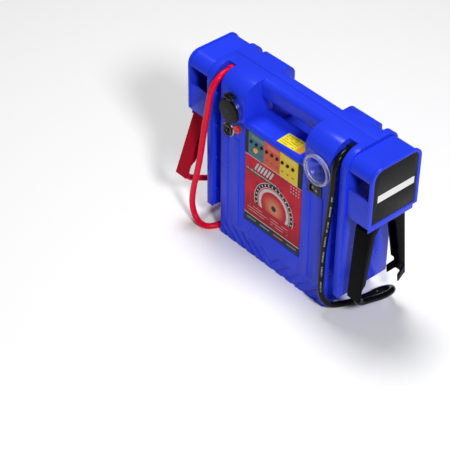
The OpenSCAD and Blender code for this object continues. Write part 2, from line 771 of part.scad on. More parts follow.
module socket_cap() color("black") {
  difference() {
    union() {
      turned_y(socket_x, socket_z, [[0, cap_y - cap_t], [cap_r - 1.5, cap_y - cap_t],
        [cap_r, cap_y - cap_t + 1.5], [cap_r, cap_y], [0, cap_y]]);
      block([socket_x - 4, cap_y - cap_t, socket_z + cap_r - 3],
        [socket_x + 4, cap_y, cap_hinge_z]);
      translate([socket_x - 4, cap_hinge_y, cap_hinge_z]) rotate([0, 90, 0])
        cylinder(r = knuckle_r, h = 8);
    }
    translate([socket_x - 5, cap_hinge_y, cap_hinge_z]) rotate([0, 90, 0])
      cylinder(r = cap_pin_r + pin_gap, h = 10);
  }
}

module cap_hinge_block() color("black") for (side = [0, 1])
  translate([socket_x, 0, 0]) mirror([side, 0, 0]) difference() {
    union() {
      translate([4 + move_gap, cap_hinge_y, cap_hinge_z]) rotate([0, 90, 0])
        cylinder(r = knuckle_r, h = 4);
      block([4 + move_gap, cap_hinge_y, cap_hinge_z - 2], [8, front_y + 1.5, cap_hinge_z + 2]);
      block([-eps, front_y - 1.2, cap_hinge_z - 2], [8, front_y + 1.5, cap_hinge_z + 2]);
    }
    translate([0, cap_hinge_y, cap_hinge_z]) rotate([0, 90, 0]) cylinder(r = cap_pin_r, h = 10);
  }

module cap_hinge_pin() color("silver") translate([socket_x - 9, cap_hinge_y, cap_hinge_z])
  rotate([0, 90, 0]) cylinder(r = cap_pin_r, h = 18);

// ---- Charging jack and breaker ----
module charge_jack() color("black") turned_y(jack_x, jack_z, [
  [jack_bore_r, front_y - 4], [5, front_y - 4], [5.5, front_y - 5.5], [8, front_y - 5.5],
  [9, front_y - 7], [jack_ring_r - 2, front_y - 7], [jack_ring_r - 2, front_y - 1.5],
  [jack_ring_r - 3, front_y - 1.5], [jack_ring_r - 3, front_y + 11],
  [0, front_y + 11], [0, front_y - 4 + jack_depth], [jack_bore_r, front_y - 4 + jack_depth]]);

module charge_jack_ring() color("silver") turned_y(jack_x, jack_z, [
  [jack_ring_r - 2 + seat_gap, front_y - 5], [jack_ring_r - 1, front_y - 5],
  [jack_ring_r, front_y - 3], [jack_ring_r, front_y],
  [jack_ring_r - 3 + seat_gap, front_y], [jack_ring_r - 3 + seat_gap, front_y - 1.5 + seat_gap],
  [jack_ring_r - 2 + seat_gap, front_y - 1.5 + seat_gap]]);

breaker_stem_r = breaker_r - 4;
module breaker_body() color("dimgray") turned_y(breaker_x, breaker_z, [
  [breaker_stem_r + 0.1, front_y - 1.5], [breaker_r, front_y - 1.5], [breaker_r, front_y],
  [breaker_r - 3, front_y], [breaker_r - 3, front_y + wall], [breaker_r, front_y + wall],
  [breaker_r, front_y + 20], [0, front_y + 20], [0, front_y + 18],
  [breaker_stem_r + 0.1, front_y + 18]]);

module breaker_button() color("crimson") {
  head_y = front_y - 1.5 - breaker_travel - move_gap;
  turned_y(breaker_x, breaker_z, [[0, head_y - 2.8], [2.6, head_y - 2.8], [3, head_y - 4.2],
    [breaker_r - 0.8, head_y - 4.2], [breaker_r, head_y - 3.4], [breaker_r, head_y],
    [breaker_stem_r, head_y], [breaker_stem_r, front_y + 18 - breaker_travel - 1],
    [0, front_y + 18 - breaker_travel - 1]]);
}

// ---- Lamp ----
lamp_in = lamp_r - lamp_rim;
// Half-section of a dome between two distances along Y, as [distance out, y] points
function dome(r, crown_y, rim_y, steps) =
  [for (i = [0:steps]) let (a = 90 * i / steps) [r * sin(a), rim_y - (rim_y - crown_y) * cos(a)]];

module lamp_lens() color("lightcyan") turned_y(lamp_right, lamp_z, concat(
  dome(lamp_in, front_y - lamp_proud - 2, front_y - lamp_proud + 2, 6),
  [[lamp_in + 1, front_y - lamp_proud], [lamp_r - 1.5, front_y - lamp_proud],
    [lamp_r, front_y - lamp_proud + 1.5], [lamp_r, front_y - eps], [lamp_in + 1, front_y - eps],
    [lamp_in, front_y - lamp_proud + 4.5]],
  [for (i = [6:-1:0]) dome(lamp_in - 2, front_y - lamp_proud, front_y - lamp_proud + 4, 6)[i]]));

// Dish of the reflector: a parabola of revolution, open for the bulb
function dish(depth, i, steps) = let (r = 4 + (lamp_in - 1 - 4) * i / steps)
  [r, front_y + 1 + depth * (1 - pow(r / (lamp_in - 1), 2))];
module lamp_reflector() color("silver") turned_y(lamp_right, lamp_z, concat(
  [for (i = [0:8]) dish(reflector_d, i, 8)],
  [[lamp_in - seat_gap, front_y + 0.5], [lamp_in - seat_gap, front_y + 3]],
  [for (i = [8:-1:0]) dish(reflector_d, i, 8) + [0, 2.2]]));

module lamp_bulb() color("white") {
  bulb_y = front_y + reflector_d - 8;
  translate([lamp_right, bulb_y, lamp_z]) sphere(r = 3);
  along_y(lamp_right, lamp_z, 2.6, bulb_y, bulb_y + 5);
  along_y(lamp_right, lamp_z, 3.9, bulb_y + 5 - eps, front_y + reflector_d + 12);
}

module switch_frame() color("black") difference() {
  union() {
    block([switch_right - switch_w / 2, front_y - 1.6, switch_z - switch_h / 2],
      [switch_right + switch_w / 2, front_y, switch_z + switch_h / 2]);
    block([switch_right - switch_w / 2 + 2 + seat_gap, front_y - eps,
      switch_z - switch_h / 2 + 2 + seat_gap], [switch_right + switch_w / 2 - 2 - seat_gap,
      front_y + 16, switch_z + switch_h / 2 - 2 - seat_gap]);
  }
  block([switch_right - switch_w / 2 + 3.2, front_y - 2, switch_z - switch_h / 2 + 3.2],
    [switch_right + switch_w / 2 - 3.2, front_y + 10, switch_z + switch_h / 2 - 3.2]);
  translate([switch_right, rocker_y + 4, switch_z - switch_h / 2 + 2]) cylinder(r = 1.3, h = 20);
}

// Rocker on two stub pins, drawn in its off position
module switch_rocker() color("black") {
  w = switch_w / 2 - 3.2 - 1.2;
  h = switch_h / 2 - 3.2 - move_gap;
  translate([switch_right, rocker_y + 4, switch_z]) rotate([0, 0, -rocker_throw / 2]) {
    linear_extrude(2 * h, center = true) polygon([[-w, -3.6], [-w * 0.5, -4.6], [0, -5],
      [w * 0.5, -4.6], [w, -3.6], [w * 0.4, 3], [-w * 0.4, 3]]);
    cylinder(r = 1.3 - pin_gap, h = 2 * h + 2, center = true);
  }
}

// ---- Battery and what holds and joins it ----
module battery() color("darkslategray") {
  block([-battery_l / 2, -battery_d / 2, battery_z],
    [battery_l / 2, battery_d / 2, battery_top - 3]);
  block([-battery_l / 2 + 2, -battery_d / 2 + 2, battery_top - 3 - eps],
    [battery_l / 2 - 2, battery_d / 2 - 2, battery_top]);
}

module battery_terminals() color("silver") for (side = [-1, 1]) {
  block([side * terminal_x - 8, terminal_y - 8, battery_top],
    [side * terminal_x + 8, terminal_y + 8, battery_top + terminal_h]);
  translate([side * terminal_x, terminal_y, battery_top + terminal_h - eps])
    cylinder(r = 4, h = post_h + eps);
}

module battery_strap() color("silver") {
  leg_x = battery_l / 2 + 0.5;
  block([-leg_x - strap_t, 6, battery_top], [leg_x + strap_t, 6 + strap_w, battery_top + strap_t]);
  for (side = [0, 1]) mirror([side, 0, 0]) {
    block([leg_x, 6, wall], [leg_x + strap_t, 6 + strap_w, battery_top + eps]);
    block([leg_x, 6, wall], [leg_x + 8, 6 + strap_w, wall + strap_t]);
  }
}

module inner_lead(side) swept([for (p = inner_route) [side * p[0], p[1], p[2]]],
  cable_d / 2 - 0.5, 8, [0, 1, 0]);
module red_inner_lead() color("red") inner_lead(-1);
module black_inner_lead() color("black") inner_lead(1);

// ---- Fasteners ----
module cross_screw(length) {
  difference() {
    union() {
      cylinder(r = screw_head_r, h = 2.6);
      translate([0, 0, -length]) cylinder(r = screw_r, h = length + eps);
    }
    for (turn = [0, 90]) rotate([0, 0, turn]) block([-2.4, -0.5, 1.2], [2.4, 0.5, 3]);
  }
}

module case_screws() color("dimgray") for (side = [-1, 1], b = boss_places)
  translate([side * b[0], rear_y - screw_sink, b[1]]) rotate([-90, 0, 0])
    cross_screw(rear_y - screw_sink - seam_y + 20);

module holster_screws() color("dimgray") for (side = [-1, 1], z = holster_screw_z,
  y = holster_screw_y) translate([side * (wing_out + wall), y, z]) rotate([0, side * 90, 0])
    cross_screw(wall + 3.5);

// ---- Cables ----
function gland_r() = cable_d / 2 + gland_wall;
module gland(side) {
  y0 = channel_back - gland_proud;
  turned_y(side * channel_x, gland_z, [[0, y0], [gland_r() - 1, y0], [gland_r(), y0 + 1],
    [gland_r(), channel_back + wall + 1], [0, channel_back + wall + 1]]);
}
module red_gland() color("crimson") gland(-1);
module black_gland() color("black") gland(1);
module red_cable() color("crimson") swept(red_route, cable_d / 2, 10, [1, 0, 0]);
module black_cable() color("black") swept(black_route, cable_d / 2, 10, [1, 0, 0]);

// ---- Clamps, drawn round the pivot: Y across the jaws and Z up to them ----
shoulder_z = -24;
cut_z = -handle_l + narrow_l;
leg_z = -30;
function handle_out(z) = shoulder_out + (tip_out - shoulder_out) * (shoulder_z - z)
  / (handle_l + shoulder_z);
// Outer line of a front lever from the end of its handle to the tip of its jaw, as [y, z]
outer_line = [[-handle_out(-handle_l), -handle_l], [-shoulder_out, shoulder_z], [-16, 6],
  [-15.5, 34], [-11, jaw_l - 5], [-jaw_gap / 2 - 2, jaw_l]];

// Side plate of a lever: a flange, deepest at the shoulder, with the ear and the jaw
module lever_plate() {
  depth = 19;
  polygon(concat(outer_line, [[-jaw_gap / 2, jaw_l], [-jaw_gap / 2, jaw_l - 16], [-9.5, 26],
    [-8, ear_r], [0, ear_r - 1], [0, -ear_r + 1], [-handle_out(-38) + depth, -38],
    [-handle_out(cut_z) + 11, cut_z], [-handle_out(cut_z - 8) + 4.5, cut_z - 8],
    [-handle_out(-handle_l) + 4.5, -handle_l]]));
  circle(r = ear_r);
}

// Back of a lever: a strip of sheet along the outer line, ending behind the jaw's bar
module lever_back() {
  top = [-jaw_gap / 2 - 5, jaw_l - 3];
  polygon(concat([for (i = [0:4]) outer_line[i]], [top, top + [2.2, 0]],
    [for (i = [4:-1:0]) outer_line[i] + [sheet_t * 1.1, 0]]));
}

// Pressed lever: two plates and a back, bored for the pivot
module lever(half, bore_r) {
  difference() {
    union() {
      for (x = [-half, half - sheet_t]) along_x(x, x + sheet_t) lever_plate();
      along_x(-half, half) lever_back();
    }
    translate([-half - 1, 0, 0]) rotate([0, 90, 0]) cylinder(r = bore_r, h = 2 * half + 2);
  }
}
front_half = clamp_w / 2;
rear_half = front_half - sheet_t - move_gap;

// The front lever holds the cable, in a crimp near the end of its handle
module front_lever() {
  crimp_z = -handle_l + 34;
  lever(front_half, pivot_r);
  translate([0, -handle_out(crimp_z) + sheet_t * 1.1 + cable_d / 2 + 0.1, crimp_z])
    rotate([-5, 0, 0]) difference() {
      cylinder(r = cable_d / 2 + 2, h = 12, center = true);
      cylinder(r = cable_d / 2 + 0.6, h = 14, center = true);
    }
}

// The rear lever has no cable, so the ears for a crimp stand open at its end
module rear_lever() mirror([0, 1, 0]) {
  lever(rear_half, pivot_r + pin_gap);
  splay = [6, 28];
  for (side = [0, 1]) mirror([side, 0, 0])
    translate([rear_half - sheet_t, -tip_out + 1.5, -handle_l + 1]) rotate([0, 0, -splay[side]])
      along_x(0, sheet_t) polygon([[0, 0], [15, -9], [16.5, 5], [13, 8], [0, 17]]);
}

// Copper jaw with saw teeth; the front one runs down to the barrel on the cable's end
module jaw_bar(half) {
  teeth = 7;
  pitch = 3.6;
  top = jaw_l - 1;
  along_x(-half, half) polygon(concat([[-jaw_gap / 2 - 2.6, top]],
    [for (i = [0:teeth - 1], s = [0, 1]) [-jaw_gap / 2 - (s == 0 ? 0 : 1.2),
      top - i * pitch - s * pitch * 0.6]],
    [[-jaw_gap / 2 - 2.6, top - teeth * pitch]]));
}
module front_jaw() {
  barrel_r = 6.3;
  barrel_z = -44;
  barrel_y = -handle_out(barrel_z) + sheet_t * 1.1 + barrel_r + 0.4;
  jaw_bar(front_half - sheet_t - seat_gap);
  strip_y = outer_line[3][0] + sheet_t * 1.1 + 0.3;
  along_x(-4, 4) polygon([[-jaw_gap / 2 - 2.9, jaw_l - 22], [-jaw_gap / 2 - 1.4, jaw_l - 25],
    [strip_y + 1.6, 27], [strip_y + 1.6, 5], [-23.9, -12], [barrel_y + 3, barrel_z + 9],
    [barrel_y + 1.2, barrel_z + 9], [-25.8, -12], [strip_y, 6], [strip_y, 28]]);
  translate([0, barrel_y, barrel_z]) rotate([-5, 0, 0]) cylinder(r = barrel_r, h = 12);
}
module rear_jaw() mirror([0, 1, 0]) jaw_bar(rear_half - sheet_t - seat_gap);

module pivot_pin() {
  along = front_half + 0.2;
  translate([-along, 0, 0]) rotate([0, 90, 0]) cylinder(r = pivot_r, h = 2 * along);
  for (side = [0, 1]) mirror([side, 0, 0]) translate([front_half, 0, 0]) rotate([0, 90, 0])
    cylinder(r = pivot_r + 2.4, h = 0.8);
}

// Torsion spring: turns round the pin, with a straight leg to the back of each handle
module spring() {
  coil_r = pivot_r + wire_r + 1.1;
  pitch = 2 * wire_r + 0.5;
  meet = 40;
  sweep = 360 * (spring_turns - 1) + 180 - 2 * meet;
  last = round(8 * sweep / 360);
  x = pitch * sweep / 720;
  turns = [for (i = [0:last]) let (a = meet + sweep * i / last)
    [x * (2 * i / last - 1), coil_r * cos(a), coil_r * sin(a)]];
  least = min([for (i = [0:last - 6], j = [i + 6:last]) norm(turns[j] - turns[i])]);
  echo("least gap between the turns of a clamp's spring", least - 2 * wire_r);
  leg_y = handle_out(leg_z) - sheet_t * 1.1 - wire_r * 1.3;
  swept(concat([[-x, leg_y, leg_z]], turns, [[x, -leg_y, leg_z]]), wire_r, 6, [1, 0, 0]);
}

module red_front_lever() color("firebrick") at_clamp(red_pivot, red_tilt) front_lever();
module red_rear_lever() color("firebrick") at_clamp(red_pivot, red_tilt) rear_lever();
module red_front_jaw() color("peru") at_clamp(red_pivot, red_tilt) front_jaw();
module red_rear_jaw() color("peru") at_clamp(red_pivot, red_tilt) rear_jaw();
module red_pivot_pin() color("silver") at_clamp(red_pivot, red_tilt) pivot_pin();
module red_spring() color("silver") at_clamp(red_pivot, red_tilt) spring();
module black_front_lever() color("black") at_clamp(black_pivot, black_tilt) front_lever();
module black_rear_lever() color("black") at_clamp(black_pivot, black_tilt) rear_lever();
module black_front_jaw() color("peru") at_clamp(black_pivot, black_tilt) front_jaw();
module black_rear_jaw() color("peru") at_clamp(black_pivot, black_tilt) rear_jaw();
module black_pivot_pin() color("silver") at_clamp(black_pivot, black_tilt) pivot_pin();
module black_spring() color("silver") at_clamp(black_pivot, black_tilt) spring();

front_shell();
rear_shell();
left_holster();
right_holster();
left_badge();
right_badge();
plus_mark();
minus_mark();
face_label();
shelf_sticker();
indicator_windows();
indicator_board();
test_button();
socket_barrel();
socket_nut();
socket_contact();
socket_cap();
cap_hinge_block();
cap_hinge_pin();
charge_jack();
charge_jack_ring();
breaker_body();
breaker_button();
lamp_lens();
lamp_reflector();
lamp_bulb();
switch_frame();
switch_rocker();
battery();
battery_terminals();
battery_strap();
red_inner_lead();
black_inner_lead();
case_screws();
holster_screws();
red_gland();
black_gland();
red_cable();
black_cable();
red_front_lever();
red_rear_lever();
red_front_jaw();
red_rear_jaw();
red_pivot_pin();
red_spring();
black_front_lever();
black_rear_lever();
black_front_jaw();
black_rear_jaw();
black_pivot_pin();
black_spring();
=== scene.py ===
"""Looks of a jump starter pack: blue moulded case, face label, lamp, socket, jack and clamp leads."""

import math

import bmesh
import bpy
from mathutils import Matrix, Vector
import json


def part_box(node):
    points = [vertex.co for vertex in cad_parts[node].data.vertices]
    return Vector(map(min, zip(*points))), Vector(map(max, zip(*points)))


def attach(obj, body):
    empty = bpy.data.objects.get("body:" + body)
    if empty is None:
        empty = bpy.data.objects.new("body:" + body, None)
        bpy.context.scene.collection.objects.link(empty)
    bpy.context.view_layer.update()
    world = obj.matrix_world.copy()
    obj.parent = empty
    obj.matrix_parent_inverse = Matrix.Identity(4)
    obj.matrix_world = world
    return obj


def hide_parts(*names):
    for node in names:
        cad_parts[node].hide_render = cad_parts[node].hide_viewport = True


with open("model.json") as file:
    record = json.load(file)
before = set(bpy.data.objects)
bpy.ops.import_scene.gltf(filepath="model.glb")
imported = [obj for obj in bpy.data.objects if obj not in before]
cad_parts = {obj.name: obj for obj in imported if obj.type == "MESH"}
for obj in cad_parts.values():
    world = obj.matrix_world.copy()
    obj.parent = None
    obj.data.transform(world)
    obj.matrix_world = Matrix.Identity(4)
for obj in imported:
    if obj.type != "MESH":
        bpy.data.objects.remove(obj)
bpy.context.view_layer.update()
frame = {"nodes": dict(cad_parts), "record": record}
NODES = frame["nodes"]
MM = 0.001


def box_mm(node):
    """Lowest and highest corner of a node's box in millimetres"""
    return [corner * 1000 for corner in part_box(node)]


# ---- Camera ----
FOCAL_LENGTH, SENSOR = 126.885, 36  # mm
CAMERA_PLACE = (1.4328, -1.4157, 1.7425)
CAMERA_RIGHT = (0.6571, 0.7538, 0.0061)
CAMERA_UP = (-0.4864, 0.4179, 0.7673)
CAMERA_BACK = (0.5758, -0.5072, 0.6413)
FARTHEST = 20  # the camera sees this far, m


def aim_camera():
    data = bpy.data.cameras.new("camera")
    data.sensor_width = SENSOR
    data.lens = FOCAL_LENGTH
    data.clip_end = FARTHEST
    camera = bpy.data.objects.new("camera", data)
    bpy.context.collection.objects.link(camera)
    turn = Matrix((CAMERA_RIGHT, CAMERA_UP, CAMERA_BACK)).transposed().to_4x4()
    camera.matrix_world = Matrix.Translation(CAMERA_PLACE) @ turn
    bpy.context.scene.camera = camera


aim_camera()


# ---- Materials: sockets with arithmetic ----
class Value:
    """One output socket of a material; arithmetic on it adds Math nodes"""

    def __init__(self, finish, socket):
        self.finish, self.socket = finish, socket

    def math(self, operation, *others):
        return self.finish.add("ShaderNodeMath", {"operation": operation}, (self, *others))

    def __add__(self, other):
        return self.math("ADD", other)

    __radd__ = __add__

    def __mul__(self, other):
        return self.math("MULTIPLY", other)

    __rmul__ = __mul__

    def __sub__(self, other):
        return self.math("SUBTRACT", other)

    def __rsub__(self, other):
        return self.finish.add("ShaderNodeMath", {"operation": "SUBTRACT"}, (other, self))

    def __gt__(self, other):
        return self.math("GREATER_THAN", other)

    def __lt__(self, other):
        return self.math("LESS_THAN", other)

    def within(self, low, high):
        """1 between two values and 0 outside them"""
        return (self > low) * (self < high)

    def rise(self, low, high):
        """0 below low and 1 above high, with a smooth change between"""
        return self.finish.add(
            "ShaderNodeMapRange", {"interpolation_type": "SMOOTHSTEP"}, (self, low, high, 0.0, 1.0)
        )

    def wave(self, pitch):
        """Distance from the middle of the nearest of the stripes that lie a pitch apart"""
        return self.math("PINGPONG", pitch / 2)


class Finish:
    """A material: a Principled shader and the nodes that feed it"""

    def __init__(self, name, colour, roughness=0.5, **constants):
        self.material = bpy.data.materials.new(name)
        self.material.use_nodes = True
        self.tree = self.material.node_tree
        self.shader = self.tree.nodes["Principled BSDF"]
        self.set("Base Color", colour)
        self.set("Roughness", roughness)
        for socket, value in constants.items():
            self.set(socket.replace("_", " "), value)

    def set(self, socket, value):
        self.join(value, self.shader.inputs[socket])
        return self

    def join(self, value, socket):
        if isinstance(value, Value):
            self.tree.links.new(value.socket, socket)
        elif isinstance(value, tuple) and len(value) == 3 and socket.type == "RGBA":
            socket.default_value = (*value, 1)
        else:
            socket.default_value = value

    def add(self, kind, settings, inputs=(), output=0):
        node = self.tree.nodes.new(kind)
        for name, value in settings.items():
            setattr(node, name, value)
        pairs = inputs.items() if isinstance(inputs, dict) else enumerate(inputs)
        for key, value in pairs:
            self.join(value, node.inputs[key])
        return Value(self, node.outputs[output])

    def place(self):
        """Object coordinates in millimetres, as one vector"""
        where = self.add("ShaderNodeTexCoord", {}, output="Object")
        return self.add("ShaderNodeVectorMath", {"operation": "SCALE"}, {0: where, "Scale": 1000.0})

    def axes(self):
        """Object coordinates in millimetres, as x, y and z"""
        parts = self.add("ShaderNodeSeparateXYZ", {}, (self.place(),))
        return [Value(self, parts.socket.node.outputs[i]) for i in range(3)]

    def noise(self, size, detail=2.0, rough=0.5, where=None):
        """Cloudy noise from 0 to 1 whose patches are about size millimetres across"""
        where = where or self.place()
        return self.add(
            "ShaderNodeTexNoise", {},
            {"Vector": where, "Scale": 1.0 / size, "Detail": detail, "Roughness": rough},
        )

    def mix(self, factor, first, second):
        return self.add(
            "ShaderNodeMix", {"data_type": "RGBA"}, {0: factor, 6: first, 7: second}, output=2
        )

    def bump(self, height, distance):
        """Raises the surface by height times distance in millimetres"""
        inputs = {"Height": height, "Distance": distance * MM, "Strength": 1.0}
        return self.set("Normal", self.add("ShaderNodeBump", {}, inputs))


def moulded(name, colour, shade, roughness, grain=0.02, grain_size=0.7, shine=0.5):
    """Moulded plastic: a fine pebbled grain, faint flow marks and lightly rubbed patches"""
    finish = Finish(name, colour, roughness, Specular_IOR_Level=shine)
    flow = finish.noise(38, 3)
    rub = finish.noise(9, 4, 0.65).rise(0.5, 0.75)
    finish.set("Base Color", finish.mix(flow, colour, shade))
    finish.set("Roughness", roughness - 0.08 * rub + 0.1 * (flow - 0.5))
    finish.bump(finish.noise(grain_size, 3), grain)
    return finish.material


def metal(name, colour, roughness, streak=None, **constants):
    """Plated or bare metal: fine scratches and uneven shine"""
    finish = Finish(name, colour, roughness, Metallic=1.0, **constants)
    x, y, z = finish.axes()
    where = finish.add("ShaderNodeCombineXYZ", {}, (x * 0.2, y, z))
    scratch = finish.noise(0.5, 2, where=where)
    stain = finish.noise(6, 3).rise(0.45, 0.8)
    finish.set("Roughness", roughness + 0.12 * scratch + 0.1 * stain)
    if streak:
        finish.set("Base Color", finish.mix(stain, colour, streak))
    finish.bump(scratch, 0.01)
    return finish.material


def jacket(name, colour, shade, roughness, shine, legend=False):
    """Cable jacket: soft shine with dull dusty patches"""
    finish = Finish(name, colour, roughness, Specular_IOR_Level=shine)
    dust = finish.noise(7, 4, 0.6)
    colour = finish.mix(dust.rise(0.35, 0.75), colour, shade)
    if legend:
        # a row of small strokes along the cable, like a printed legend
        run = finish.add("ShaderNodeAttribute", {"attribute_name": "run"}, output=1)
        parts = finish.add("ShaderNodeSeparateXYZ", {}, (run,))
        along, aside, facing = [Value(finish, parts.socket.node.outputs[i]) for i in range(3)]
        stroke = (along.wave(2.3) < 0.6) * ((along + 4).wave(31) < 10.5) * along.within(90, 290)
        stroke = stroke * (finish.noise(1.7, 0, where=run) > 0.42)
        stroke = stroke * aside.within(-1.1, 1.1) * (facing > 0)
        colour = finish.mix(stroke * 0.8, colour, (0.62, 0.62, 0.62))
    finish.set("Base Color", colour)
    finish.set("Roughness", roughness + 0.18 * (dust - 0.4))
    finish.bump(finish.noise(1.1, 3), 0.03)
    return finish.material


def dipped(name, colour, shade, shine):
    """Thick dipped coating: orange-peel surface, worn lighter in small places"""
    finish = Finish(name, colour, 0.34, Specular_IOR_Level=shine)
    wear = finish.noise(3.2, 5, 0.7).rise(0.62, 0.74)
    finish.set("Base Color", finish.mix(wear, colour, shade))
    finish.set("Roughness", 0.34 + 0.25 * wear)
    finish.bump(finish.noise(2.4, 2) + 3 * finish.noise(9, 2), 0.1)
    return finish.material


# Layout of the face label, in millimetres of the part's frame
LABEL_LEFT, LABEL_RIGHT = -58.4, 56.2  # the coloured zones lie between these
FOOT_TOP, FOOT_LINE = 83.2, 1.1
HEADER_FOOT, HEADER_LINE = 204, 1
ZONE_EDGES = (-22.2, 15.1)
DIAL_X, DIAL_Z, DIAL_FOOT = 4, 128, -14
STUDS_LEFT, STUDS_RIGHT = 37, 61
BLADE_FOOT, BLADE_TOP, BLADE_LEAN = 182, 198, 0.5

INK = (0.012, 0.012, 0.014)
WARM_INK = (0.012, 0.01, 0.012)
SOFT_INK = (0.02, 0.02, 0.02)
TEAL_ZONE, ORANGE_ZONE, YELLOW_ZONE = (0.025, 0.17, 0.26), (0.72, 0.1, 0.045), (0.86, 0.62, 0.02)


def dial(finish, colour, x, z, silver):
    """Rings open at their foot, with ticks between them and a glow in the middle"""
    u, v = x - DIAL_X, z - DIAL_Z
    out = (u * u + v * v).math("SQRT")
    turn = v.math("ARCTAN2", u)
    arc = v > DIAL_FOOT
    colour = finish.mix(out.within(38.5, 45) * arc, colour, INK)
    colour = finish.mix(out.within(30, 35.5) * arc, colour, silver)
    rims = (out.within(37.4, 38.2) + out.within(45.3, 46.1)) * arc
    colour = finish.mix(rims, colour, (0.8, 0.8, 0.8))
    tick = (turn.wave(math.pi / 15) < 0.022) * out.within(40, 43.5) * arc
    colour = finish.mix(tick, colour, (0.85, 0.85, 0.85))
    long_tick = (turn.wave(math.pi / 5) < 0.03) * out.within(47.5, 52) * arc
    colour = finish.mix(long_tick, colour, SOFT_INK)
    glow = (1 - out.rise(4, 28)) * arc
    colour = finish.mix(glow * 0.5, colour, (0.85, 0.5, 0.22))
    return finish.mix(out < 5.5, colour, SOFT_INK)


def upper_trim(finish, colour, x, z, silver):
    """Studs in one upper corner, slanted silver bars in the other and a dark band under these"""
    stud_x, stud_z = x.wave(6), (z - 180).wave(6)
    stud = ((stud_x * stud_x + stud_z * stud_z).math("SQRT") < 1.25) * z.within(181, 199.5)
    colour = finish.mix(stud * x.within(STUDS_LEFT, STUDS_RIGHT), colour, silver)
    lean = x - BLADE_LEAN * z
    blade = (lean.wave(7) < 2.1) * z.within(BLADE_FOOT, BLADE_TOP) * lean.within(-135, -96)
    rim = (lean.wave(7) < 2.7) * z.within(181.2, 198.8) * lean.within(-135.6, -95.4)
    colour = finish.mix(rim, colour, INK)
    colour = finish.mix(blade, colour, silver)
    band = z.within(172.6, 178.2) * x.within(-62, 14)
    colour = finish.mix(band, colour, WARM_INK)
    dash = band * (z.wave(5.6) > 1.3) * (x.wave(3.4) < 1.1) * (finish.noise(5, 1) > 0.4)
    return finish.mix(dash * 0.8, colour, (0.8, 0.78, 0.76))


def low_bars(finish, colour, x, z):
    """Rows of short pale bars under the dial"""
    row = (z.wave(5.5) < 0.62) * z.within(89, 106) * x.within(-58, 38)
    return finish.mix(row * (finish.noise(7, 1) > 0.43) * 0.75, colour, (0.78, 0.5, 0.5))


def header_zones(finish, colour, x, z, cloud):
    """Three coloured zones behind the indicators, with fine strokes over them and dashes under"""
    zone = finish.mix(x > ZONE_EDGES[0], TEAL_ZONE, ORANGE_ZONE)
    zone = finish.mix(x > ZONE_EDGES[1], zone, YELLOW_ZONE)
    zone = finish.mix(cloud * 0.25, zone, (0.3, 0.2, 0.12))
    stroke = (z.wave(3.4) < 0.42) * z.within(238.5, 246) * (x.wave(37) < 14)
    zone = finish.mix(stroke * 0.55, zone, (0.75, 0.72, 0.68))
    dash = ((z - 215).math("ABSOLUTE") < 1.3) * ((x + 3.5).wave(12.1) < 2.6)
    zone = finish.mix(dash * (x.math("ABSOLUTE") < 54) * 0.8, zone, (0.05, 0.06, 0.07))
    zone = finish.mix((x > LABEL_LEFT) * (x < LABEL_RIGHT), WARM_INK, zone)
    colour = finish.mix(z > HEADER_FOOT, colour, zone)
    line = z.within(HEADER_FOOT + 0.2 - HEADER_LINE, HEADER_FOOT + 0.2)
    return finish.mix(line, colour, (0.75, 0.6, 0.58))


def foot_strip(finish, colour, x, z):
    """Dark strip with dashes of four colours and a white line over it"""
    dash = z.within(74.6, 77.4) * ((x + 48).wave(32) < 11)
    tint = finish.mix(x > -32, (0.1, 0.3, 0.2), (0.2, 0.3, 0.5))
    tint = finish.mix(x > 0, tint, (0.5, 0.14, 0.12))
    tint = finish.mix(x > 32, tint, (0.22, 0.22, 0.22))
    strip = finish.mix(dash, (0.02, 0.022, 0.018), tint)
    colour = finish.mix(z < FOOT_TOP, colour, strip)
    return finish.mix(z.within(FOOT_TOP, FOOT_TOP + FOOT_LINE), colour, (0.8, 0.8, 0.78))


def label_film():
    """Face label: coloured zones over a red field with a generic dial of rings and ticks"""
    finish = Finish("label_film", (0.55, 0.01, 0.03), 0.3, Specular_IOR_Level=0.12)
    x, y, z = finish.axes()
    cloud = finish.noise(30, 3)
    silver = finish.mix(finish.noise(5, 2), (0.75, 0.75, 0.77), (0.42, 0.43, 0.46))
    bright = finish.mix(cloud.rise(0.3, 0.7), (0.66, 0.004, 0.03), (0.46, 0.003, 0.018))
    deep = finish.mix(cloud, (0.3, 0.002, 0.01), (0.44, 0.004, 0.016))
    colour = finish.mix(z.rise(84, 150), deep, bright)
    colour = dial(finish, colour, x, z, silver)
    colour = upper_trim(finish, colour, x, z, silver)
    colour = low_bars(finish, colour, x, z)
    colour = header_zones(finish, colour, x, z, cloud)
    finish.set("Base Color", foot_strip(finish, colour, x, z))
    finish.set("Roughness", 0.28 + 0.2 * cloud)
    finish.bump(finish.noise(14, 2), 0.05)
    return finish.material


def sticker_film():
    """Yellow sticker: rows of short dark bars, a grid of dots and an orange band at one end"""
    finish = Finish("sticker_film", (0.88, 0.68, 0.01), 0.4, Specular_IOR_Level=0.3)
    x, y, z = finish.axes()
    low, high = box_mm("shelf_sticker")
    u, v = x - low.x, y - low.y
    fold = finish.noise(16, 3)
    colour = finish.mix(fold, (0.92, 0.78, 0.012), (0.86, 0.66, 0.01))
    length, width, rim = high.x - low.x, high.y - low.y, 4
    bars = (v.wave(5) < 0.75) * u.within(rim, length - 17) * v.within(rim, width - rim)
    bars = bars * (finish.noise(4.5, 1) > 0.42)
    colour = finish.mix(bars * 0.85, colour, (0.14, 0.05, 0.02))
    band = u > length - 13.5
    colour = finish.mix(band * 0.85, colour, (0.84, 0.24, 0.01))
    dots = (u.wave(3.2) < 0.7) * (v.wave(3.2) < 0.7) * band
    colour = finish.mix(dots * 0.7, colour, (0.9, 0.76, 0.03))
    finish.set("Base Color", colour)
    finish.bump(fold, 0.15)
    return finish.material


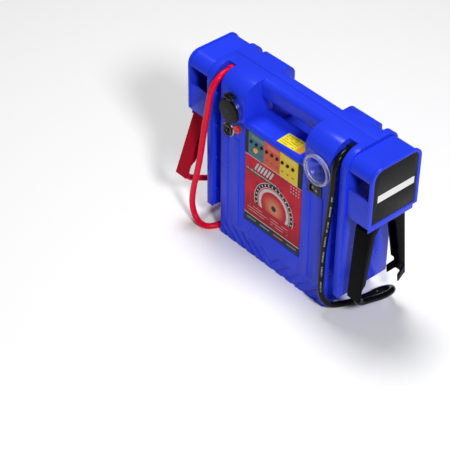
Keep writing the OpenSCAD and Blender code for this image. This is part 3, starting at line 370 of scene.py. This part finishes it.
def clear(name, tint, roughness, bend):
    finish = Finish(name, tint, roughness, Transmission_Weight=1.0, IOR=bend)
    finish.set("Roughness", roughness + 0.03 * finish.noise(5, 3).rise(0.55, 0.8))
    return finish.material


def clear_rim():
    """Thick edge of the lens: pale, half clear, with a wet shine"""
    finish = Finish("clear_rim", (0.72, 0.7, 0.86), 0.2, Transmission_Weight=0.8, IOR=1.49,
                    Coat_Weight=0.6, Coat_Roughness=0.05)
    streak = finish.noise(4, 3)
    finish.set("Base Color", finish.mix(streak, (0.86, 0.85, 0.98), (0.7, 0.68, 0.86)))
    finish.set("Roughness", 0.1 + 0.12 * streak)
    return finish.material


def dish_painted_reflection():
    """Plated dish, tinted blue as a painted reflection of the blue case: smooth, with a faint haze"""
    finish = Finish("dish_painted_reflection", (0.08, 0.12, 0.9), 0.25, Metallic=0.5)
    haze = finish.noise(14, 2)
    # both blues are a painted reflection of the blue case; the noise only varies them at random
    finish.set("Base Color", finish.mix(haze, (0.06, 0.09, 0.85), (0.1, 0.15, 0.95)))
    finish.set("Roughness", 0.2 + 0.1 * haze)
    return finish.material


def cap_rubber():
    """Rubber of the socket's cap, with a raised ring and a raised plug sign on its face"""
    finish = Finish("cap_rubber", (0.002, 0.002, 0.002), 0.24, Specular_IOR_Level=0.12)
    x, y, z = finish.axes()
    low, high = box_mm("socket_barrel")
    u, v = x - (low.x + high.x) / 2, z - (low.z + high.z) / 2
    out = (u * u + v * v).math("SQRT")
    ring = out.rise(15.2, 15.7) * (1 - out.rise(17.6, 18.1))
    body = u.within(-5, 2) * v.within(-3.6, 3.6)
    pins = u.within(2, 6.5) * ((v.math("ABSOLUTE") - 2).math("ABSOLUTE") < 0.65)
    lead = u.within(-9, -5) * (v.math("ABSOLUTE") < 0.8)
    sign = (body + pins + lead) > 0.5
    finish.set("Base Color", finish.mix(sign, (0.004, 0.004, 0.004), (0.014, 0.014, 0.014)))
    finish.set("Roughness", 0.28 + 0.12 * finish.noise(3, 3) - 0.08 * sign)
    finish.bump(ring + sign + 0.03 * finish.noise(0.6, 3), 0.5)
    return finish.material


def rocker_plastic():
    """Black rocker with an off mark and an on mark"""
    finish = Finish("rocker_plastic", (0.006, 0.006, 0.007), 0.3, Specular_IOR_Level=0.3)
    x, y, z = finish.axes()
    low, high = box_mm("switch_rocker")
    u, v = x - (low.x + high.x) / 2, z - (low.z + high.z) / 2
    off = ((u + 5.6) * (u + 5.6) + v * v).math("SQRT").within(0.9, 2.0)
    on = ((u - 4.6).math("ABSOLUTE") < 0.5) * (v.math("ABSOLUTE") < 2.1)
    grain = finish.noise(2, 3)
    colour = finish.mix(grain, (0.006, 0.006, 0.007), (0.012, 0.012, 0.013))
    finish.set("Base Color", finish.mix((off + on) > 0.5, colour, (0.8, 0.8, 0.78)))
    finish.set("Roughness", 0.26 + 0.14 * grain)
    return finish.material


BLUE = moulded("blue_moulding", (0.02, 0.05, 0.8), (0.016, 0.042, 0.72), 0.26, 0.012, 0.8, 0.14)
BADGE = moulded("badge_panel", (0.008, 0.008, 0.009), (0.014, 0.014, 0.015), 0.42, 0.02, 1.0, 0.1)
MARK = moulded("mark_white", (0.86, 0.86, 0.84), (0.8, 0.8, 0.79), 0.5, 0.01)
LABEL = label_film()
STICKER = sticker_film()
DARK = moulded("dark_moulding", (0.005, 0.005, 0.006), (0.009, 0.009, 0.01), 0.28, 0.015, 0.7, 0.25)
GREY = moulded("grey_moulding", (0.12, 0.12, 0.125), (0.09, 0.09, 0.095), 0.5, 0.02)
ORANGE = moulded("button_amber", (0.86, 0.33, 0.02), (0.8, 0.42, 0.05), 0.3, 0.01)
RED_BUTTON = moulded("button_red", (0.72, 0.012, 0.03), (0.6, 0.01, 0.02), 0.25, 0.01)
CHROME = metal("plated_steel", (0.78, 0.78, 0.8), 0.14)
STEEL = metal("bare_steel", (0.5, 0.5, 0.51), 0.32, (0.32, 0.3, 0.28))
SCREW = metal("dark_screw", (0.1, 0.1, 0.105), 0.38)
COPPER = metal("jaw_copper", (0.82, 0.42, 0.25), 0.28, (0.45, 0.18, 0.09))
BRASS = metal("contact_brass", (0.8, 0.58, 0.24), 0.25)
PAINTED_REFLECTION_DISH = dish_painted_reflection()
CLEAR = clear("clear_lens", (0.8, 0.85, 1.0), 0.01, 1.15)
RIM = clear_rim()
RUBBER = cap_rubber()
ROCKER = rocker_plastic()
BULB = clear("bulb_glass", (0.98, 0.97, 0.92), 0.08, 1.45)
BOARD = moulded("board_green", (0.01, 0.09, 0.035), (0.015, 0.12, 0.05), 0.4, 0.02)
CELL = moulded("battery_case", (0.05, 0.055, 0.065), (0.07, 0.075, 0.085), 0.5, 0.03)
RED_JACKET = jacket("red_jacket", (0.8, 0.002, 0.035), (0.7, 0.006, 0.03), 0.28, 0.14)
BLACK_JACKET = jacket("black_jacket", (0.003, 0.003, 0.004), (0.008, 0.008, 0.008), 0.22, 0.16, legend=True)
RED_COAT = dipped("red_coat", (0.44, 0.001, 0.018), (0.52, 0.03, 0.045), 0.05)
BLACK_COAT = dipped("black_coat", (0.001, 0.001, 0.0015), (0.006, 0.006, 0.007), 0.03)

FINISHES = {
    BLUE: ["front_shell", "rear_shell", "left_holster", "right_holster"],
    BADGE: ["left_badge", "right_badge"],
    MARK: ["plus_mark", "minus_mark"],
    LABEL: ["face_label"],
    STICKER: ["shelf_sticker"],
    DARK: ["charge_jack", "cap_hinge_block", "switch_frame", "indicator_windows", "black_gland"],
    ROCKER: ["switch_rocker"],
    RUBBER: ["socket_cap"],
    GREY: ["socket_nut", "breaker_body"],
    ORANGE: ["test_button"],
    RED_BUTTON: ["breaker_button"],
    CHROME: ["socket_barrel", "cap_hinge_pin", "red_pivot_pin", "black_pivot_pin",
             "red_spring", "black_spring"],
    STEEL: ["battery_terminals", "battery_strap", "charge_jack_ring"],
    SCREW: ["case_screws", "holster_screws"],
    COPPER: ["red_front_jaw", "red_rear_jaw", "black_front_jaw", "black_rear_jaw"],
    BRASS: ["socket_contact"],
    PAINTED_REFLECTION_DISH: ["lamp_reflector"],
    CLEAR: ["lamp_lens"],
    BULB: ["lamp_bulb"],
    BOARD: ["indicator_board"],
    CELL: ["battery"],
    RED_JACKET: ["red_inner_lead", "red_gland", "red_cable"],
    BLACK_JACKET: ["black_inner_lead", "black_cable"],
    RED_COAT: ["red_front_lever", "red_rear_lever"],
    BLACK_COAT: ["black_front_lever", "black_rear_lever"],
}
FINISH_OF = {node: finish for finish, nodes in FINISHES.items() for node in nodes}
for node, finish in FINISH_OF.items():
    NODES[node].data.materials.clear()
    NODES[node].data.materials.append(finish)

BODY_OF = {node: body for body, nodes in frame["record"]["behaviour"]["bodies"].items()
           for node in nodes}


# ---- Meshes ----
MANY_CORNERS = 40  # a flat face with more corners than this is cut into triangles


def new_piece(name, mesh, node, finish=None):
    """An object that stands for a CAD node, or goes with it, on the same body"""
    piece = bpy.data.objects.new(name, mesh)
    bpy.context.collection.objects.link(piece)
    mesh.materials.clear()
    mesh.materials.append(finish or FINISH_OF[node])
    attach(piece, BODY_OF[node])
    return piece


def smooth(mesh, angle=35):
    mesh.polygons.foreach_set("use_smooth", [True] * len(mesh.polygons))
    mesh.set_sharp_from_angle(angle=math.radians(angle))


def softened(node, radius, segments=3, angle=30, crisp=None):
    """A copy of a CAD node whose sharp edges are rounded by a radius in millimetres, apart from
    those that crisp returns, a function that may also move the copy's points"""
    mesh = NODES[node].data.copy()
    work = bmesh.new()
    work.from_mesh(mesh)
    bmesh.ops.remove_doubles(work, verts=work.verts, dist=2e-6)
    bmesh.ops.dissolve_limit(
        work, angle_limit=math.radians(0.5), verts=work.verts, edges=work.edges
    )
    # a flat face with holes in it holds together only as triangles
    pierced = [face for face in work.faces if len(face.verts) > MANY_CORNERS]
    bmesh.ops.triangulate(work, faces=pierced)
    kept = crisp(work) if crisp else set()
    weight = work.edges.layers.float.new("bevel_weight_edge")
    for edge in work.edges:
        sharp = len(edge.link_faces) == 2 and edge.calc_face_angle(0) > math.radians(angle)
        edge[weight] = float(sharp and edge not in kept)
    work.to_mesh(mesh)
    work.free()
    blank = bpy.data.objects.new(node + "_blank", mesh)
    bpy.context.collection.objects.link(blank)
    edges = blank.modifiers.new("edges", "BEVEL")
    edges.width = radius * MM
    edges.segments = segments
    edges.limit_method = "WEIGHT"
    edges.use_clamp_overlap = True
    edges.miter_outer = "MITER_ARC"
    edges.harden_normals = False
    bpy.context.view_layer.update()
    rounded = bpy.data.meshes.new_from_object(
        blank.evaluated_get(bpy.context.evaluated_depsgraph_get())
    )
    bpy.data.objects.remove(blank)
    smooth(rounded, 40)
    piece = new_piece(node + "_softened", rounded, node)
    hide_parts(node)
    return piece


# ---- Cables, in metres ----
CABLE = 0.0105
RED_ROUTE = [
    (-0.137, -0.027, 0.312), (-0.137, -0.038, 0.3115), (-0.137, -0.049, 0.307),
    (-0.138, -0.057, 0.298), (-0.14, -0.0615, 0.286), (-0.143, -0.063, 0.27),
    (-0.147, -0.0635, 0.246), (-0.151, -0.0645, 0.22), (-0.155, -0.066, 0.19),
    (-0.159, -0.0675, 0.158), (-0.163, -0.069, 0.13), (-0.168, -0.07, 0.104),
    (-0.174, -0.071, 0.076), (-0.178, -0.071, 0.052), (-0.1785, -0.071, 0.038),
    (-0.176, -0.071, 0.025), (-0.169, -0.0715, 0.014), (-0.16, -0.0715, 0.008),
    (-0.15, -0.069, 0.0055), (-0.1415, -0.063, 0.0055), (-0.1365, -0.0535, 0.0055),
    (-0.135, -0.042, 0.0055), (-0.135, -0.02, 0.0055), (-0.135, 0.005, 0.0055),
    (-0.1355, 0.026, 0.0055), (-0.139, 0.039, 0.006), (-0.147, 0.049, 0.0085),
    (-0.158, 0.054, 0.013), (-0.169, 0.052, 0.019), (-0.179, 0.044, 0.027),
    (-0.186, 0.032, 0.035), (-0.189, 0.015, 0.0445), (-0.19, -0.008, 0.0545),
    (-0.19, -0.033, 0.066), (-0.19, -0.05, 0.0752), (-0.19, -0.0627, 0.0821),
    (-0.19, -0.068, 0.0861), (-0.19, -0.072, 0.0914), (-0.19, -0.0742, 0.0976),
    (-0.19, -0.0747, 0.1042), (-0.19, -0.0732, 0.1107), (-0.19, -0.0665, 0.1279),
    (-0.19, -0.0506, 0.167), (-0.19, -0.0347, 0.2062),
]
BLACK_ROUTE = [
    (0.137, -0.027, 0.312), (0.1375, -0.038, 0.3115), (0.1385, -0.049, 0.307),
    (0.139, -0.0565, 0.298), (0.1395, -0.06, 0.286), (0.1395, -0.0607, 0.27),
    (0.1389, -0.0611, 0.246), (0.137, -0.0619, 0.212), (0.1342, -0.063, 0.178),
    (0.1322, -0.0643, 0.15), (0.131, -0.0654, 0.12), (0.1308, -0.066, 0.088),
    (0.131, -0.0663, 0.062), (0.1315, -0.0658, 0.046), (0.1327, -0.063, 0.032),
    (0.1347, -0.0572, 0.0202), (0.1375, -0.0486, 0.0114), (0.141, -0.0384, 0.0066),
    (0.1456, -0.0276, 0.0055), (0.1504, -0.0168, 0.0055), (0.1543, -0.005, 0.0055),
    (0.1572, 0.009, 0.0055), (0.1595, 0.024, 0.0055), (0.1619, 0.035, 0.0075),
    (0.1684, 0.043, 0.012), (0.1773, 0.046, 0.0184), (0.1862, 0.043, 0.0249),
    (0.1927, 0.035, 0.0294), (0.1951, 0.024, 0.0313), (0.1948, 0.01, 0.033),
    (0.193, -0.003, 0.0352), (0.1912, -0.015, 0.0374), (0.1902, -0.0266, 0.0399),
    (0.19, -0.0319, 0.0418), (0.19, -0.0366, 0.0448), (0.19, -0.0405, 0.049),
    (0.19, -0.0433, 0.0539), (0.19, -0.0449, 0.0593), (0.19, -0.0451, 0.0649),
    (0.19, -0.0443, 0.079), (0.19, -0.0431, 0.0939), (0.19, -0.0399, 0.136),
    (0.19, -0.0366, 0.1781),
]


def smooth_line(points, steps=5):
    """Points of a smooth curve through the route's points"""
    points = [Vector(p) for p in points]
    ends = [points[0] * 2 - points[1]] + points + [points[-1] * 2 - points[-2]]
    line = []
    for a, b, c, d in zip(ends, ends[1:], ends[2:], ends[3:]):
        # knots by distance keep the curve from swinging wide beside short stretches
        t1 = (b - a).length ** 0.5
        t2 = t1 + (c - b).length ** 0.5
        t3 = t2 + (d - c).length ** 0.5
        for i in range(steps):
            t = t1 + (t2 - t1) * i / steps
            a1 = a.lerp(b, t / t1)
            a2 = b.lerp(c, (t - t1) / (t2 - t1))
            a3 = c.lerp(d, (t - t2) / (t3 - t2))
            b1 = a1.lerp(a2, t / t2)
            b2 = a2.lerp(a3, (t - t1) / (t3 - t1))
            line.append(b1.lerp(b2, (t - t1) / (t2 - t1)))
    return line + [points[-1]]


def tube(name, line, radius, sides=20, face=Vector((0.75, -0.66, 0))):
    """Mesh of a round tube along a line of points, closed at both ends, that keeps as "run" how far
    each point lies along it, aside of the line that faces forward, and how much it faces so"""
    tangents = [(b - a).normalized() for a, b in zip(line, line[1:])]
    tangents = [tangents[0]] + [(a + b).normalized() for a, b in zip(tangents, tangents[1:])] + [
        tangents[-1]]
    side = tangents[0].orthogonal().normalized()
    work = bmesh.new()
    rings, run, along = [], [], 0.0
    for point, last, ahead in zip(line, line[:1] + line, tangents):
        along += (point - last).length
        side = (side - ahead * side.dot(ahead)).normalized()
        up = ahead.cross(side)
        outs = [side * math.cos(a) + up * math.sin(a)
                for a in (2 * math.pi * k / sides for k in range(sides))]
        rings.append([work.verts.new(point + radius * out) for out in outs])
        run += [(along / MM, out.cross(face).z * radius / MM, out.dot(face)) for out in outs]
    for low, high in zip(rings, rings[1:]):
        for k in range(sides):
            work.faces.new((low[k], low[(k + 1) % sides], high[(k + 1) % sides], high[k]))
    work.faces.new(rings[0][::-1])
    work.faces.new(rings[-1])
    mesh = bpy.data.meshes.new(name)
    work.to_mesh(mesh)
    work.free()
    kept = mesh.attributes.new("run", "FLOAT_VECTOR", "POINT")
    for value, entry in zip(run, kept.data):
        entry.vector = value
    smooth(mesh, 60)
    return mesh


def length_of(line):
    return sum((b - a).length for a, b in zip(line, line[1:]))


def clamp_cable(node, route):
    line = smooth_line(route)
    piece = new_piece(node + "_jacket", tube(node, line, CABLE / 2), node)
    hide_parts(node)
    round(length_of(line), 3)


clamp_cable("red_cable", RED_ROUTE)
clamp_cable("black_cable", BLACK_ROUTE)


# ---- Moulded and pressed pieces with rounded edges ----
CASE_EDGE, LEVER_EDGE, SMALL_EDGE, PLATE_EDGE, TURNED_EDGE = 0.8, 0.7, 0.3, 0.25, 0.35  # mm
GROOVE_FLOOR, GROOVE_DEPTH, GROOVE_TOP = -52.5, 1.5, 33  # on the front of the case, mm
DRAFT = math.radians(23)  # lean of a groove's wall in the mould
TURNED_ANGLE = 28  # the least angle of an edge that is rounded on a turned piece, degrees
CLEAR_SHARE = 0.83  # share of the lens's radius that is clear


def groove_walls(work):
    """Leans the walls of the left grooves that face up, and returns the edges of all grooves"""
    up_right = Vector((1, 0, 1)).normalized()
    walls, leaning = set(), set()
    for face in work.faces:
        place = face.calc_center_median() / MM
        aside = abs(place.y - GROOVE_FLOOR + GROOVE_DEPTH / 2) < GROOVE_DEPTH / 2
        if aside and place.z < GROOVE_TOP and abs(face.normal.y) < 0.1:
            walls.add(face)
            if face.normal.dot(up_right) > 0.99:
                leaning.update(v for v in face.verts if v.co.y / MM > GROOVE_FLOOR - 0.1)
    for vert in leaning:
        vert.co.x += GROOVE_DEPTH * math.tan(DRAFT) * math.sqrt(2) * MM
    return {edge for face in walls for edge in face.edges}


softened("front_shell", CASE_EDGE, crisp=groove_walls)
for node in ("rear_shell", "left_holster", "right_holster"):
    softened(node, CASE_EDGE)
for node in ("left_badge", "right_badge", "switch_frame", "switch_rocker", "cap_hinge_block",
             "battery", "indicator_board"):
    softened(node, SMALL_EDGE, 2)
for node in ("red_front_lever", "red_rear_lever", "black_front_lever", "black_rear_lever"):
    softened(node, LEVER_EDGE)
for node in ("red_front_jaw", "red_rear_jaw", "black_front_jaw", "black_rear_jaw",
             "battery_terminals", "battery_strap"):
    softened(node, PLATE_EDGE, 2)


# ---- Turned pieces ----
def turned(name, outline, centre, sides=48):
    """Mesh turned round an axis along Y from an outline of (distance out, y) in millimetres"""
    work = bmesh.new()
    cx, cz = centre
    rings = []
    for out, y in outline:
        if out < 1e-6:
            rings.append([work.verts.new((cx * MM, y * MM, cz * MM))])
            continue
        rings.append([
            work.verts.new(((cx + out * math.cos(a)) * MM, y * MM, (cz + out * math.sin(a)) * MM))
            for a in (2 * math.pi * k / sides for k in range(sides))
        ])
    for low, high in zip(rings, rings[1:]):
        for k in range(sides):
            j = (k + 1) % sides
            corners = [low[k % len(low)], low[j % len(low)], high[j % len(high)],
                       high[k % len(high)]]
            unique = list(dict.fromkeys(corners))
            if len(unique) > 2:
                work.faces.new(unique)
    bmesh.ops.recalc_face_normals(work, faces=work.faces)
    mesh = bpy.data.meshes.new(name)
    work.to_mesh(mesh)
    work.free()
    smooth(mesh, 35)
    return mesh


def join_meshes(name, meshes):
    work = bmesh.new()
    for mesh in meshes:
        work.from_mesh(mesh)
    joined = bpy.data.meshes.new(name)
    work.to_mesh(joined)
    work.free()
    smooth(joined, 35)
    return joined


def indicator_domes():
    """A row of black bezels, each round a small dark dome that catches the light"""
    low, high = box_mm("indicator_windows")
    count, radius = 9, (high.z - low.z) / 2
    pitch = (high.x - low.x - 2 * radius) / (count - 1)
    z = (low.z + high.z) / 2
    meshes = []
    for i in range(count):
        x = low.x + radius + pitch * i
        outline = [(0, low.y - 0.9), (0.9, low.y - 0.8), (1.5, low.y - 0.45), (1.85, low.y + 0.1),
                   (1.95, low.y + 0.3), (2.1, low.y - 0.1), (2.4, low.y - 0.35),
                   (2.75, low.y - 0.2), (2.95, low.y + 0.1), (radius, low.y + 0.8),
                   (radius, high.y), (0, high.y)]
        meshes.append(turned(f"dome_{i}", outline, (x, z), sides=28))
    piece = new_piece("indicator_domes", join_meshes("indicator_domes", meshes),
                      "indicator_windows")
    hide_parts("indicator_windows")


indicator_domes()

for node in ("socket_cap", "charge_jack", "charge_jack_ring", "breaker_button", "breaker_body",
             "test_button", "socket_barrel"):
    softened(node, TURNED_EDGE, 2, TURNED_ANGLE)


def lamp_lens():
    """The lens with its thick pale rim, parted from the clear dome by distance from the middle"""
    lens = softened("lamp_lens", TURNED_EDGE, 2, TURNED_ANGLE)
    low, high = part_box("lamp_lens")
    middle, reach = (low + high) / 2, (high.x - low.x) / 2
    lens.data.materials.append(RIM)
    for face in lens.data.polygons:
        aside = face.center - middle
        if math.hypot(aside.x, aside.z) > reach * CLEAR_SHARE:
            face.material_index = 1


lamp_lens()


# ---- Floor, light and surroundings ----
FLOOR_REACH = 6  # from the middle to each edge, m


def floor():
    mesh = bpy.data.meshes.new("floor")
    signs = ((-1, -1), (1, -1), (1, 1), (-1, 1))
    corners = [(FLOOR_REACH * a, FLOOR_REACH * b, 0) for a, b in signs]
    mesh.from_pydata(corners, [], [(0, 1, 2, 3)])
    plane = bpy.data.objects.new("floor", mesh)
    bpy.context.collection.objects.link(plane)
    pale = Finish("pale_floor", (0.98, 0.98, 0.98), 0.8)
    mesh.materials.append(pale.material)


def soft_light(name, place, aim, size, watts):
    data = bpy.data.lights.new(name, "AREA")
    data.shape = "DISK"
    data.size = size
    data.energy = watts
    light = bpy.data.objects.new(name, data)
    bpy.context.collection.objects.link(light)
    light.location = place
    light.rotation_euler = (Vector(aim) - Vector(place)).to_track_quat("-Z", "Y").to_euler()


def surroundings(strength):
    """An even white background of a low strength"""
    world = bpy.data.worlds.new("studio")
    world.use_nodes = True
    background = world.node_tree.nodes["Background"]
    background.inputs["Color"].default_value = (1, 1, 1, 1)
    background.inputs["Strength"].default_value = strength
    bpy.context.scene.world = world


floor()
soft_light("key_light", place=(2.1, -0.88, 2.18), aim=(0, 0, 0.15), size=0.55, watts=60)
soft_light("sky_light", place=(-0.6, 0.3, 2.8), aim=(0, 0, 0.1), size=1.0, watts=52)
surroundings(0.05)
bpy.context.scene.view_settings.view_transform = "Standard"
